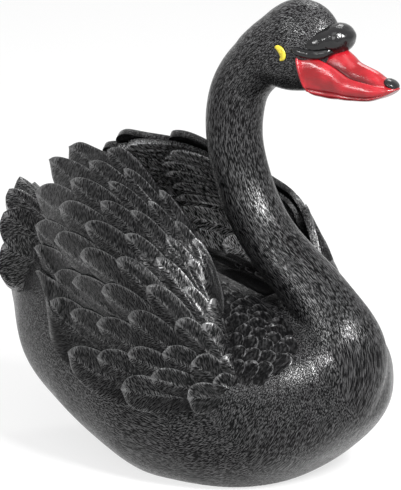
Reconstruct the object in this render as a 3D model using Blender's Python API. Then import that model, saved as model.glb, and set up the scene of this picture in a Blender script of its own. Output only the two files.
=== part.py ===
"""Swan ornament moulded in one piece, with carved wings, tail and shoulder scales."""

import math

import bpy
import numpy as np

# Body, metres; the origin is the centre of the flat base
BODY_LENGTH = 0.330
BODY_WIDTH = 0.198
BODY_HEIGHT = 0.155
BODY_ROUNDNESS = 2.25
REAR_OVERHANG = 0.1947
CROP_LENGTH = 0.092
CROP_WIDTH = 0.104
CROP_DEPTH = 0.086
CROP_SETBACK = 0.0423
CROP_RISE = 0.086

# Neck
NECK_WIDTH = 0.042
NECK_ROOT_WIDTH = 0.069
NECK_SWING = 0.103
NECK_SETBACK = 0.1228
STANDING_HEIGHT = 0.3595

# Head, knob and eyes
HEAD_LENGTH = 0.090
HEAD_WIDTH = 0.044
HEAD_DEPTH = 0.068
HEAD_ROUNDNESS = 2.17
NAPE_OVERHANG = 0.003
KNOB_LENGTH = 0.047
KNOB_WIDTH = 0.034
KNOB_DEPTH = 0.024
KNOB_PITCH = math.radians(15.0)
KNOB_RISE = 0.0412
KNOB_SINK = 0.0090
LORE_WIDTH = 0.0072
EYE_LENGTH = 0.011
EYE_HEIGHT = 0.009
EYE_SETBACK = 0.036
EYE_RISE = 0.032
EYE_BULGE = 0.0006

# Bill
BILL_LENGTH = 0.0746
BILL_WIDTH = 0.036
BILL_DEPTH = 0.040
BILL_OVERLAP = 0.0205
BILL_DROP = 0.0007
BILL_SLANT = 0.013
NAIL_LENGTH = 0.014
NAIL_WIDTH = 0.014
NAIL_DEPTH = 0.006
NAIL_PITCH = math.radians(-28.0)

# Wings
WING_LENGTH = 0.215
WING_SETBACK = 0.0392
WING_RISE = 0.083
WING_ROOT_THICKNESS = 0.020
WING_TIP_THICKNESS = 0.007
WING_FOOT_THICKNESS = 0.024
WING_FAN = 0.13
WING_FAN_LEVEL = 0.35

# Tail
TAIL_LENGTH = 0.091
TAIL_WIDTH = 0.094
TAIL_THICKNESS = 0.010
TAIL_ARCH = 0.040
TAIL_SLOPE = math.radians(29.0)
TAIL_OVERLAP = 0.0797
TAIL_RISE = 0.1395
TAIL_FEATHERS = 7

# Carved relief
FEATHER_LIFT = 0.0042
FEATHER_SINK = 0.0030
SCALE_LIFT = 0.0026
SCALE_ROWS = 9
SCALE_COLUMNS = 4
BACK_ROWS = 4
BACK_FEATHERS = 5
BACK_TURN = math.radians(88.0)

# Finish of the mesh
CARVING_STEP = 0.0016
SOFTENING_COUNT = 2
FACE_BUDGET = 11900

# Body sections from the rear: share of length, half width, top and bottom height
BODY_SECTIONS = (
    (0.000, 0.000, 0.700, 0.700),
    (0.012, 0.160, 0.800, 0.640),
    (0.047, 0.275, 0.880, 0.500),
    (0.126, 0.515, 0.955, 0.275),
    (0.252, 0.730, 1.000, 0.125),
    (0.377, 0.865, 0.995, 0.003),
    (0.503, 0.973, 0.965, -0.080),
    (0.629, 1.000, 0.915, -0.085),
    (0.739, 0.930, 0.870, -0.065),
    (0.833, 0.840, 0.825, 0.027),
    (0.912, 0.705, 0.760, 0.155),
    (0.969, 0.440, 0.645, 0.280),
    (0.991, 0.236, 0.545, 0.349),
    (1.000, 0.000, 0.440, 0.440),
)

# Neck line: share of the swing, share of the climb, width share, depth share
NECK_LINE = (
    (0.58, -0.130, -0.60, -0.60),
    (0.79, -0.060, 0.20, 0.20),
    (0.93, 0.030, 0.56, 0.60),
    (0.97, 0.150, 0.77, 0.81),
    (0.77, 0.274, 0.21, 0.25),
    (0.365, 0.402, 0.01, 0.03),
    (0.146, 0.510, 0.00, 0.00),
    (0.01, 0.649, -0.02, -0.02),
    (0.00, 0.761, 0.03, 0.03),
    (0.10, 0.856, 0.00, 0.04),
    (0.385, 0.955, 0.03, 0.15),
    (0.575, 1.000, 0.03, 0.25),
    (0.72, 1.010, -0.30, -0.10),
)

# Head sections: share of length from the nape, half width, top, bottom
HEAD_SECTIONS = (
    (0.00, 0.40, 0.34, 0.10),
    (0.06, 0.72, 0.51, 0.00),
    (0.16, 0.90, 0.64, -0.04),
    (0.28, 0.97, 0.765, 0.02),
    (0.41, 1.00, 0.87, 0.015),
    (0.53, 1.00, 0.95, 0.00),
    (0.64, 0.98, 0.99, 0.01),
    (0.74, 0.93, 0.995, 0.03),
    (0.84, 0.84, 0.945, 0.05),
    (0.92, 0.68, 0.86, 0.08),
    (0.975, 0.48, 0.75, 0.20),
    (1.00, 0.20, 0.62, 0.35),
)

# Bill sections: share of length from the root, half width, top, bottom, groove, cheek
BILL_SECTIONS = (
    (0.00, 1.12, 0.95, 0.06, 0.0, 1.0),
    (0.03, 1.17, 0.96, 0.04, 0.1, 1.0),
    (0.07, 1.12, 0.97, 0.02, 0.4, 1.0),
    (0.15, 1.07, 0.98, 0.01, 0.8, 0.9),
    (0.26, 1.02, 0.97, 0.00, 1.0, 0.6),
    (0.38, 0.98, 0.90, 0.01, 1.0, 0.3),
    (0.46, 0.94, 0.81, 0.01, 1.0, 0.1),
    (0.55, 0.88, 0.69, 0.02, 1.0, 0.0),
    (0.73, 0.78, 0.59, 0.05, 0.9, 0.0),
    (0.84, 0.68, 0.49, 0.12, 0.4, 0.0),
    (0.93, 0.49, 0.41, 0.21, 0.0, 0.0),
    (1.00, 0.14, 0.34, 0.30, 0.0, 0.0),
)

# Bill outline from ridge to keel: share of half width and of depth, groove, cheek
BILL_OUTLINE = (
    (0.00, 1.00, 0.00, 0.00),
    (0.22, 0.96, 0.00, 0.00),
    (0.42, 0.84, 0.02, 0.02),
    (0.56, 0.74, 0.10, 0.06),
    (0.66, 0.70, 0.10, 0.10),
    (0.82, 0.62, 0.00, 0.16),
    (0.97, 0.46, 0.00, 0.20),
    (1.00, 0.32, 0.00, 0.08),
    (0.93, 0.19, 0.00, 0.00),
    (0.84, 0.14, 0.00, 0.00),
    (0.84, 0.08, 0.00, 0.00),
    (0.62, 0.01, 0.00, 0.00),
    (0.30, 0.00, 0.00, 0.00),
    (0.00, 0.00, 0.00, 0.00),
)

# Roll between knob and bill: back to front, out, height, from the head's front and chin
LORE_LINE = (
    (-0.029, 0.0178, 0.0355),
    (-0.023, 0.0188, 0.0345),
    (-0.016, 0.0180, 0.0333),
    (-0.009, 0.0158, 0.0330),
    (-0.003, 0.0122, 0.0340),
    (0.000, 0.0070, 0.0360),
    (0.001, 0.0000, 0.0370),
)

# Wing net, one line from low to high and in it shoulder to tip: along, out, height
# Heights up to one are shares of the body, above one of the wing's rise
WING_NET = (
    ((0.92, 0.80, 0.48), (0.70, 1.01, 0.44), (0.42, 1.00, 0.46), (0.15, 0.84, 0.61), (-0.01, 0.60, 0.82)),
    ((0.91, 0.79, 0.52), (0.68, 0.97, 0.63), (0.41, 0.90, 0.76), (0.13, 0.69, 0.86), (-0.01, 0.61, 0.99)),
    ((0.90, 0.77, 0.57), (0.73, 0.89, 0.83), (0.48, 0.93, 1.13), (0.19, 0.76, 1.29), (-0.06, 0.48, 1.30)),
    ((0.87, 0.73, 0.63), (0.73, 0.77, 0.99), (0.50, 0.75, 1.45), (0.20, 0.57, 1.66), (-0.05, 0.33, 1.72)),
    ((0.83, 0.68, 0.69), (0.69, 0.67, 1.29), (0.53, 0.58, 1.61), (0.28, 0.42, 1.87), (0.07, 0.29, 1.88)),
)

# Edges of the scaled shoulder, breast to back: share of body length, turn in degrees
SCALE_WING_SIDE = ((0.77, 22.0), (0.77, 44.0), (0.74, 60.0), (0.67, 72.0), (0.57, 80.0))
SCALE_NECK_SIDE = ((0.88, 26.0), (0.90, 48.0), (0.87, 62.0), (0.80, 73.0), (0.66, 81.0))

# Feather rows on a wing: root, tip, count, lift share
WING_ROWS = (
    (0.50, 1.040, 6, 1.00),
    (0.38, 0.85, 7, 1.00),
    (0.28, 0.69, 8, 0.95),
    (0.19, 0.55, 9, 0.90),
    (0.10, 0.42, 10, 0.85),
    (0.03, 0.30, 10, 0.75),
    (-0.04, 0.19, 9, 0.65),
)

# Feather rows on the wing's inner face: root, tip, count
WING_INNER_ROWS = (
    (0.30, 0.72, 4),
    (0.58, 0.99, 4),
)


def spline_weights(place, count):
    """Smooth curve weights of each control point at each place, 0 to 1."""
    place = np.asarray(place, float) * (count - 1)
    cell = np.clip(np.floor(place).astype(int), 0, count - 2)
    t = place - cell
    parts = (
        -0.5 * t + t ** 2 - 0.5 * t ** 3,
        1.0 - 2.5 * t ** 2 + 1.5 * t ** 3,
        0.5 * t + 2.0 * t ** 2 - 1.5 * t ** 3,
        -0.5 * t ** 2 + 0.5 * t ** 3,
    )
    weights = np.zeros((place.size, count))
    rows = np.arange(place.size)
    for shift, part in zip((-1, 0, 1, 2), parts):
        index = cell + shift
        low = index < 0
        high = index > count - 1
        inside = ~(low | high)
        np.add.at(weights, (rows[inside], index[inside]), part[inside])
        np.add.at(weights, (rows[low], 0), 2.0 * part[low])
        np.add.at(weights, (rows[low], 1), -part[low])
        np.add.at(weights, (rows[high], count - 1), 2.0 * part[high])
        np.add.at(weights, (rows[high], count - 2), -part[high])
    return weights


def spline(table, place):
    """Rows of a table read smoothly at each place, 0 to 1."""
    table = np.asarray(table, float)
    return spline_weights(np.atleast_1d(place), len(table)) @ table


def unit(vectors):
    """Vectors scaled to length one."""
    return vectors / np.maximum(np.linalg.norm(vectors, axis=-1, keepdims=True), 1e-12)


class Carving:
    """Closed shells gathered into one mesh."""

    def __init__(self):
        self.points = []
        self.faces = []
        self.count = 0

    def add(self, points, faces):
        points = np.asarray(points, float).reshape(-1, 3)
        self.points.append(points)
        self.faces.extend([tuple(i + self.count for i in face) for face in faces])
        self.count += len(points)

    def add_mirrored(self, points, faces):
        self.add(points, faces)
        points = np.asarray(points, float).reshape(-1, 3) * (1.0, -1.0, 1.0)
        self.add(points, [tuple(reversed(face)) for face in faces])

    def to_object(self, name):
        mesh = bpy.data.meshes.new(name)
        mesh.from_pydata(np.concatenate(self.points).tolist(), [], self.faces)
        mesh.update()
        item = bpy.data.objects.new(name, mesh)
        bpy.context.scene.collection.objects.link(item)
        return item


def tube_faces(rings, around):
    """Side walls and two fan caps for rings stacked end to end."""
    faces = []
    for i in range(rings - 1):
        for j in range(around):
            k = (j + 1) % around
            faces.append((i * around + j, i * around + k, (i + 1) * around + k, (i + 1) * around + j))
    first = rings * around
    last = first + 1
    for j in range(around):
        k = (j + 1) % around
        faces.append((first, k, j))
        faces.append((last, (rings - 1) * around + j, (rings - 1) * around + k))
    return faces


def tube(rings):
    """Closed shell through rings of points."""
    rings = np.asarray(rings)
    ends = np.stack([rings[0].mean(axis=0), rings[-1].mean(axis=0)])
    points = np.concatenate([rings.reshape(-1, 3), ends])
    return points, tube_faces(len(rings), rings.shape[1])


def sheet_faces(rows, columns):
    """Top, bottom and edge faces for two grids laid one over the other."""
    under = rows * columns
    faces = []
    for i in range(rows - 1):
        for j in range(columns - 1):
            a = i * columns + j
            b = a + 1
            c = a + columns + 1
            d = a + columns
            faces.append((a, b, c, d))
            faces.append((under + d, under + c, under + b, under + a))
    rim = [j for j in range(columns)]
    rim += [i * columns + columns - 1 for i in range(1, rows)]
    rim += [(rows - 1) * columns + j for j in range(columns - 2, -1, -1)]
    rim += [i * columns for i in range(rows - 2, 0, -1)]
    for a, b in zip(rim, rim[1:] + rim[:1]):
        faces.append((a, under + a, under + b, b))
    return faces


def sheet(top, bottom):
    """Closed shell between two grids of points."""
    rows, columns = top.shape[:2]
    points = np.concatenate([top.reshape(-1, 3), bottom.reshape(-1, 3)])
    return points, sheet_faces(rows, columns)


def round_power(value, power):
    return np.sign(value) * np.abs(value) ** power


def grid_places(first, second):
    """Two grids of evenly spaced places, each from start, end and count."""
    return np.meshgrid(np.linspace(*first), np.linspace(*second), indexing="ij")


# Body

def body_x(share):
    return share * BODY_LENGTH - REAR_OVERHANG


def breast_x():
    return body_x(1.0)


def body_point(share, turn):
    """Point on the hull; turn runs from the waterline over the back."""
    half, top, low = spline(BODY_SECTIONS, share_to_place(share)).T[1:4]
    half = np.maximum(half, 0.0)
    waist = low + 0.46 * (top - low)
    power = 2.0 / BODY_ROUNDNESS
    rise = round_power(np.sin(turn), power)
    height = waist + np.where(rise > 0.0, (top - waist) * rise, (waist - low) * rise)
    out = 0.5 * BODY_WIDTH * half * round_power(np.cos(turn), power)
    return np.stack([body_x(np.asarray(share)), out, height * BODY_HEIGHT], axis=-1)


def share_to_place(share):
    """Place along the section table for a share of the length."""
    steps = np.linspace(0.0, 1.0, 400)
    shares = spline(BODY_SECTIONS, steps)[:, 0]
    return np.interp(share, shares, steps)


def body_shell(rings=72, around=72):
    bend = np.linspace(0.0, math.pi, rings)
    shares = np.clip(0.5 - 0.5 * np.cos(bend), 0.0006, 0.9994)
    turns = np.linspace(0.0, 2.0 * math.pi, around, endpoint=False)
    grid = [body_point(np.full(around, share), turns) for share in shares]
    return tube(grid)


# Neck

def neck_top():
    """Centre line height at the head."""
    return STANDING_HEIGHT - 0.35 * HEAD_DEPTH


def neck_line(place):
    """Centre, half width and half depth along the neck."""
    swing, climb, wide, deep = spline(NECK_LINE, place).T
    low = 0.40 * BODY_HEIGHT
    x = breast_x() - NECK_SETBACK + swing * NECK_SWING
    z = low + climb * (neck_top() - low)
    spread = 0.5 * (NECK_ROOT_WIDTH - NECK_WIDTH)
    half = 0.5 * NECK_WIDTH + wide * spread
    depth = 0.5 * NECK_WIDTH + deep * spread
    return np.stack([x, z], axis=-1), half, depth


def neck_shell(rings=64, around=40):
    place = np.linspace(0.0, 1.0, rings)
    line, half, depth = neck_line(place)
    along = unit(np.gradient(line, axis=0))
    across = np.stack([-along[:, 1], along[:, 0]], axis=-1)
    turns = np.linspace(0.0, 2.0 * math.pi, around, endpoint=False)
    grid = []
    for centre, side, wide, deep in zip(line, across, half, depth):
        lift = deep * np.sin(turns)
        x = centre[0] + side[0] * lift
        z = centre[1] + side[1] * lift
        grid.append(np.stack([x, wide * np.cos(turns), z], axis=-1))
    return tube(grid)


# Head

def head_start():
    """Nape end and chin line of the head."""
    return breast_x() - NECK_SETBACK + NAPE_OVERHANG, STANDING_HEIGHT - HEAD_DEPTH


def head_shell(rings=36, around=40):
    start, chin = head_start()
    bend = np.linspace(0.0, math.pi, rings)
    table = spline(HEAD_SECTIONS, 0.5 - 0.5 * np.cos(bend))
    turns = np.linspace(0.0, 2.0 * math.pi, around, endpoint=False)
    wide = round_power(np.cos(turns), 2.0 / HEAD_ROUNDNESS)
    rise = round_power(np.sin(turns), 2.0 / HEAD_ROUNDNESS)
    grid = []
    for share, half, top, low in table:
        x = np.full(around, start + share * HEAD_LENGTH)
        y = 0.5 * HEAD_WIDTH * half * wide
        z = chin + 0.5 * HEAD_DEPTH * (top + low + (top - low) * rise)
        grid.append(np.stack([x, y, z], axis=-1))
    return tube(grid)


def ball(centre, sizes, pitch=0.0, rings=20, around=24):
    """Ellipsoid with its long axis pitched up toward the front."""
    polar = np.linspace(0.0, math.pi, rings + 2)[1:-1]
    turns = np.linspace(0.0, 2.0 * math.pi, around, endpoint=False)
    grid = []
    for angle in polar:
        along = np.full(around, -math.cos(angle)) * sizes[0]
        y = math.sin(angle) * np.cos(turns) * sizes[1]
        up = math.sin(angle) * np.sin(turns) * sizes[2]
        x = along * math.cos(pitch) - up * math.sin(pitch)
        z = along * math.sin(pitch) + up * math.cos(pitch)
        grid.append(np.stack([x, y, z], axis=-1))
    points, faces = tube(grid)
    return points + np.asarray(centre), faces


def crop_shell():
    """Swell of the breast round the root of the neck."""
    middle = (breast_x() - CROP_SETBACK, 0.0, CROP_RISE)
    return ball(middle, (0.5 * CROP_LENGTH, 0.5 * CROP_WIDTH, 0.5 * CROP_DEPTH))


def knob_shells():
    start, chin = head_start()
    axis = np.array((math.cos(KNOB_PITCH), 0.0, math.sin(KNOB_PITCH)))
    middle = np.array((start + HEAD_LENGTH - KNOB_SINK, 0.0, chin + KNOB_RISE))
    tip = middle + axis * 0.22 * KNOB_LENGTH
    long = (0.50 * KNOB_LENGTH, 0.50 * KNOB_WIDTH, 0.46 * KNOB_DEPTH)
    blunt = (0.25 * KNOB_LENGTH, 0.43 * KNOB_WIDTH, 0.47 * KNOB_DEPTH)
    lobe = (0.32 * KNOB_LENGTH, 0.20 * KNOB_WIDTH, 0.32 * KNOB_DEPTH)
    shells = [ball(middle, long, KNOB_PITCH), ball(tip, blunt, KNOB_PITCH)]
    for side in (-0.34, 0.34):
        shells.append(ball(middle + (-0.10 * KNOB_LENGTH, side * KNOB_WIDTH, -0.10 * KNOB_DEPTH), lobe, KNOB_PITCH))
    return shells


def lore_shell(rings=60, around=14):
    """Roll that runs round the head's front, under the knob and over the bill."""
    start, chin = head_start()
    half = np.asarray(LORE_LINE)
    corners = np.concatenate([half * (1.0, -1.0, 1.0), half[-2::-1]])
    line = spline(corners, np.linspace(0.0, 1.0, rings)) + (start + HEAD_LENGTH, 0.0, chin)
    along = unit(np.gradient(line, axis=0))
    across = unit(np.cross(along, (0.0, 0.0, 1.0)))
    up = np.cross(across, along)
    turns = np.linspace(0.0, 2.0 * math.pi, around, endpoint=False)
    ends = np.minimum(np.arange(rings), np.arange(rings)[::-1])
    thick = 0.5 * LORE_WIDTH * np.sqrt(np.clip((ends + 0.3) / 6.0, 0.0, 1.0))
    ring = np.cos(turns)[None, :, None] * across[:, None] + np.sin(turns)[None, :, None] * up[:, None]
    return tube(line[:, None] + ring * thick[:, None, None])


def eye_shell():
    start, chin = head_start()
    deep = 0.07 * HEAD_WIDTH
    side = 0.50 * HEAD_WIDTH + EYE_BULGE - deep
    middle = (start + HEAD_LENGTH - EYE_SETBACK, -side, chin + EYE_RISE)
    return ball(middle, (0.5 * EYE_LENGTH, deep, 0.5 * EYE_HEIGHT), 0.0, 10, 14)


# Bill

def bill_start():
    start, chin = head_start()
    return start + HEAD_LENGTH - BILL_OVERLAP, chin + BILL_DROP


def bill_shell(rings=40):
    root, low = bill_start()
    outline = spline(BILL_OUTLINE, np.linspace(0.0, 1.0, 33))
    grid = []
    for share, half, top, floor, groove, cheek in spline(BILL_SECTIONS, np.linspace(0.0, 1.0, rings)):
        depth = outline[:, 1] - outline[:, 2] * groove + outline[:, 3] * cheek
        y = outline[:, 0] * half * 0.5 * BILL_WIDTH
        z = low + BILL_DEPTH * (floor + (top - floor) * depth)
        x = root + share * BILL_LENGTH + BILL_SLANT * (0.5 - depth) * (1.0 - share) ** 3
        side = np.stack([x, -y, z], axis=-1)
        other = np.stack([x, y, z], axis=-1)[-2:0:-1]
        grid.append(np.concatenate([side, other]))
    return tube(grid)


def nail_shell():
    root, low = bill_start()
    middle = (root + BILL_LENGTH - 0.46 * NAIL_LENGTH, 0.0, low + 0.39 * BILL_DEPTH)
    sizes = (0.5 * NAIL_LENGTH, 0.5 * NAIL_WIDTH, 0.5 * NAIL_DEPTH)
    return ball(middle, sizes, NAIL_PITCH, 10, 14)


# Wings

def wing_height(share):
    """Height for a share of the body up to one and of the wing's rise above it."""
    share = np.asarray(share, float)
    return np.where(share < 1.0, share * BODY_HEIGHT, BODY_HEIGHT + (share - 1.0) * WING_RISE)


def wing_controls():
    net = np.asarray(WING_NET, float)
    x = breast_x() - WING_SETBACK - (1.0 - net[..., 0]) * WING_LENGTH
    y = -net[..., 1] * BODY_WIDTH / 2.0
    z = wing_height(net[..., 2])
    return np.stack([x, y, z], axis=-1)


def wing_point(u, v):
    """Point of the wing's outer face; u runs shoulder to tip, v low to high."""
    controls = wing_controls()
    u = np.asarray(u, float)
    v = np.asarray(v, float)
    along = spline_weights(u.ravel(), controls.shape[1])
    up = spline_weights(v.ravel(), controls.shape[0])
    return np.einsum("na,nb,bac->nc", along, up, controls).reshape(u.shape + (3,))


def wing_normal(u, v):
    step = 0.004
    across = wing_point(u, v + step) - wing_point(u, v - step)
    along = wing_point(u + step, v) - wing_point(u - step, v)
    return unit(np.cross(across, along))


def wing_shell(rows=40, columns=30):
    u, v = grid_places((0.0, 0.94, rows), (0.0, 0.98, columns))
    return sheet(wing_point(u, v), wing_inner_point(u, v))


def square_off(point, u, v, step=0.004):
    """Turn each cross line of a feather square to its middle line."""
    middle = v.shape[1] // 2
    line_u = u[:, middle]
    line_v = v[:, middle]
    along = np.gradient(point(line_u, line_v), axis=0)
    first = point(line_u + step, line_v) - point(line_u - step, line_v)
    second = point(line_u, line_v + step) - point(line_u, line_v - step)
    turn = -(second * along).sum(axis=-1) / (first * along).sum(axis=-1)
    across = second + first * turn[:, None]
    size = np.linalg.norm(second, axis=-1) / np.linalg.norm(across, axis=-1)
    aside = (v - line_v[:, None]) * size[:, None]
    return u + aside * turn[:, None], line_v[:, None] + aside


def plate(point, normal, root, tip, middle, width, lift, sink, drift=0.0, rows=14, columns=9):
    """One feather laid on a surface, raised toward its rounded tip."""
    q, t = grid_places((0.0, 1.0, rows), (-1.0, 1.0, columns))
    s = 1.0 - (1.0 - q) ** 1.8
    past = np.clip((s - 0.55) / 0.45, 0.0, 1.0)
    widen = 0.80 + 0.20 * np.minimum(s / 0.5, 1.0)
    half = 0.5 * width * widen * np.sqrt(1.0 - 0.995 * past ** 2.6)
    u = root + s * (tip - root)
    v = middle + drift * s ** 2 + t * half
    u, v = square_off(point, u, v)
    surface = point(u, v)
    out = normal(u, v)
    rise = lift * (0.05 + 0.95 * s ** 1.3) * (1.0 - 0.55 * t ** 2)
    top = surface + out * rise[..., None]
    bottom = surface - out * sink
    return sheet(top, bottom)


def wing_thickness(u, v):
    thin = np.clip(u * 0.45 + v * 0.75, 0.0, 1.0)
    foot = WING_FOOT_THICKNESS * np.clip(1.0 - 3.0 * v, 0.0, 1.0) ** 2
    return WING_ROOT_THICKNESS + (WING_TIP_THICKNESS - WING_ROOT_THICKNESS) * thin + foot


def wing_inner_point(u, v):
    """Point of the wing's inner face."""
    depth = wing_thickness(u, v)
    return wing_point(u, v) - wing_normal(u, v) * depth[..., None]


def wing_inner_normal(u, v):
    return -wing_normal(u, v)


def wing_inner_feathers():
    shells = []
    for number, (root, tip, count) in enumerate(WING_INNER_ROWS):
        for i in range(count):
            middle = 0.52 + 0.50 * (i + 0.5 - 0.25 * (number % 2)) / count
            shape = (root, tip, middle, 0.66 / count, FEATHER_LIFT, FEATHER_SINK)
            shells.append(plate(wing_inner_point, wing_inner_normal, *shape))
    return shells


def wing_feathers():
    shells = []
    for number, (root, tip, count, share) in enumerate(WING_ROWS):
        for i in range(count):
            middle = (i + 0.5 + 0.5 * (number % 2)) / (count + 0.5)
            drift = WING_FAN * (middle - WING_FAN_LEVEL)
            shape = (root, tip, middle, 1.30 / count, FEATHER_LIFT * share, FEATHER_SINK, drift)
            shells.append(plate(wing_point, wing_normal, *shape))
    return shells


# Shoulder scales

def scale_point(u, v):
    """Point of the shoulder; u runs from the breast up and back, v from wing to neck."""
    u = np.asarray(u, float)
    v = np.asarray(v, float)
    low = spline(SCALE_WING_SIDE, u.ravel())
    high = spline(SCALE_NECK_SIDE, u.ravel())
    mix = low + (high - low) * v.reshape(-1, 1)
    point = body_point(mix[:, 0], math.pi - np.radians(mix[:, 1]))
    return point.reshape(u.shape + (3,))


def scale_normal(u, v):
    step = 0.01
    across = scale_point(u, v + step) - scale_point(u, v - step)
    along = scale_point(u + step, v) - scale_point(u - step, v)
    return unit(np.cross(across, along))


def shoulder_scales():
    shells = []
    for number in range(SCALE_ROWS):
        tip = (number + 1.4) / (SCALE_ROWS + 0.4)
        root = tip - 1.6 / SCALE_ROWS
        count = round(SCALE_COLUMNS - 1.2 * number / SCALE_ROWS)
        for i in range(count):
            middle = (i + 0.25 + 0.5 * (number % 2)) / count
            lift = SCALE_LIFT * min(1.0, 0.3 + 0.35 * number)
            shape = (root, tip, middle, 1.2 / count, lift, FEATHER_SINK)
            shells.append(plate(scale_point, scale_normal, *shape, rows=8, columns=5))
    return shells


def back_point(u, v):
    """Point of the back between the wings; u runs back, v from right to left."""
    u = np.asarray(u, float)
    v = np.asarray(v, float)
    turn = 0.5 * math.pi + (0.5 - v) * BACK_TURN
    point = body_point((0.52 - 0.30 * u).ravel(), turn.ravel())
    return point.reshape(u.shape + (3,))


def back_normal(u, v):
    step = 0.01
    across = back_point(u, v + step) - back_point(u, v - step)
    along = back_point(u + step, v) - back_point(u - step, v)
    return unit(np.cross(across, along))


def back_feathers():
    shells = []
    for number in range(BACK_ROWS):
        tip = (number + 1.2) / BACK_ROWS
        root = tip - 1.9 / BACK_ROWS
        for i in range(BACK_FEATHERS):
            middle = (i + 0.25 + 0.5 * (number % 2)) / BACK_FEATHERS
            shape = (root, tip, middle, 1.25 / BACK_FEATHERS, FEATHER_LIFT, FEATHER_SINK)
            shells.append(plate(back_point, back_normal, *shape))
    return shells


# Tail

def tail_point(u, v):
    """Point of the tail's upper face; u runs root to tip, v across from -1 to 1."""
    u = np.asarray(u, float)
    v = np.asarray(v, float)
    spread = np.abs(v) ** 1.8
    reach = u * TAIL_LENGTH * (1.0 - 0.30 * spread)
    fan = 0.55 + 0.45 * u
    back = body_x(0.0) + TAIL_OVERLAP - reach * math.cos(TAIL_SLOPE)
    out = fan * v * TAIL_WIDTH / 2.0
    height = TAIL_RISE + reach * math.sin(TAIL_SLOPE) - TAIL_ARCH * spread * fan
    return np.stack([back, out, height], axis=-1)


def tail_normal(u, v):
    step = 0.004
    across = tail_point(u, v + step) - tail_point(u, v - step)
    along = tail_point(u + step, v) - tail_point(u - step, v)
    return unit(np.cross(along, across)) * -1.0


def tail_shell(rows=20, columns=24):
    u, v = grid_places((0.0, 0.94, rows), (-1.0, 1.0, columns))
    top = tail_point(u, v)
    under = top - tail_normal(u, v) * TAIL_THICKNESS
    return sheet(top, under)


def tail_feathers():
    shells = []
    for i in range(TAIL_FEATHERS):
        middle = -1.0 + 2.0 * (i + 0.5) / TAIL_FEATHERS
        lift = FEATHER_LIFT * (1.1 - 0.5 * abs(middle))
        shape = (0.1, 1.03, middle, 3.5 / TAIL_FEATHERS, lift, 0.8 * TAIL_THICKNESS)
        shells.append(plate(tail_point, tail_normal, *shape))
    return shells


# The whole

def gather():
    carving = Carving()
    carving.add(*body_shell())
    carving.add(*neck_shell())
    carving.add(*crop_shell())
    carving.add(*head_shell())
    for shell in knob_shells():
        carving.add(*shell)
    carving.add(*lore_shell())
    carving.add_mirrored(*eye_shell())
    carving.add(*bill_shell())
    carving.add(*nail_shell())
    carving.add_mirrored(*wing_shell())
    for shell in wing_feathers():
        carving.add_mirrored(*shell)
    for shell in wing_inner_feathers():
        carving.add_mirrored(*shell)
    for shell in back_feathers():
        carving.add(*shell)
    for shell in shoulder_scales():
        carving.add_mirrored(*shell)
    carving.add(*tail_shell())
    for shell in tail_feathers():
        carving.add(*shell)
    return carving


def paint():
    material = bpy.data.materials.new("black paint")
    material.use_nodes = True
    shader = material.node_tree.nodes["Principled BSDF"]
    shader.inputs["Base Color"].default_value = (0.022, 0.022, 0.023, 1.0)
    shader.inputs["Roughness"].default_value = 0.38
    return material


def settle(item):
    """The evaluated mesh, its corners rounded to a hundredth of a millimetre."""
    graph = bpy.context.evaluated_depsgraph_get()
    mesh = bpy.data.meshes.new_from_object(item.evaluated_get(graph))
    for corner in mesh.vertices:
        corner.co = [round(value, 5) for value in corner.co]
    item.modifiers.clear()
    item.data = mesh


def fuse(item):
    """One closed skin around all shells, thinned to the face budget."""
    skin = item.modifiers.new("skin", "REMESH")
    skin.mode = "VOXEL"
    skin.voxel_size = CARVING_STEP
    skin.use_smooth_shade = False
    soften = item.modifiers.new("soften", "SMOOTH")
    soften.factor = 0.5
    soften.iterations = SOFTENING_COUNT
    settle(item)
    thin = item.modifiers.new("thin", "DECIMATE")
    thin.ratio = FACE_BUDGET / triangles(item.data)
    settle(item)


def triangles(mesh):
    return sum(len(face.vertices) - 2 for face in mesh.polygons)


def base_cutter():
    """Block whose top is the level of the flat base."""
    x, y = grid_places((-BODY_LENGTH, BODY_LENGTH, 2), (-BODY_WIDTH, BODY_WIDTH, 2))
    top = np.stack([x, y, np.zeros_like(x)], axis=-1)
    bottom = top - (0.0, 0.0, 0.5 * BODY_HEIGHT)
    block = Carving()
    block.add(*sheet(bottom, top))
    item = block.to_object("base cutter")
    item.hide_render = True
    item.display_type = "WIRE"
    return item


def build():
    for item in list(bpy.data.objects):
        bpy.data.objects.remove(item, do_unlink=True)
    swan = gather().to_object("swan")
    fuse(swan)
    swan.data.materials.clear()
    swan.data.materials.append(paint())
    flat = swan.modifiers.new("flat base", "BOOLEAN")
    flat.operation = "DIFFERENCE"
    flat.solver = "EXACT"
    flat.object = base_cutter()
    return swan


if __name__ == "__main__":
    build()
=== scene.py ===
"""Black swan ornament: carved feathers, glossy red bill, studio floor and light."""

import math

import bpy
import numpy as np
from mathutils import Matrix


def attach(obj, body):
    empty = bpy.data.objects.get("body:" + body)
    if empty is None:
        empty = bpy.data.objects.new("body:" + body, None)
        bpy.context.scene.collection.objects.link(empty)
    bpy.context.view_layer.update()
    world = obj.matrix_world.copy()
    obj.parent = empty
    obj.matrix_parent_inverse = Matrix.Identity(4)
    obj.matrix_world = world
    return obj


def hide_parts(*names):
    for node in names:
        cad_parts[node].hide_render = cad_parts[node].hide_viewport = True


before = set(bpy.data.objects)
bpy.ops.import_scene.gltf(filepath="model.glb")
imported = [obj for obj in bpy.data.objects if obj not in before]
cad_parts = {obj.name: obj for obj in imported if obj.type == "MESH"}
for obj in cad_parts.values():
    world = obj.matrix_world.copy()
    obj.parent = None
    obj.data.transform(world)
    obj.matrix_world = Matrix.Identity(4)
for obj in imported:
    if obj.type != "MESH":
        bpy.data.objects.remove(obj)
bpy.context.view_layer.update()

# Body, metres; the origin is the centre of the flat base
BODY_LENGTH = 0.330
BODY_WIDTH = 0.198
BODY_HEIGHT = 0.155
BODY_ROUNDNESS = 2.25
REAR_OVERHANG = 0.1947
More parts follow.
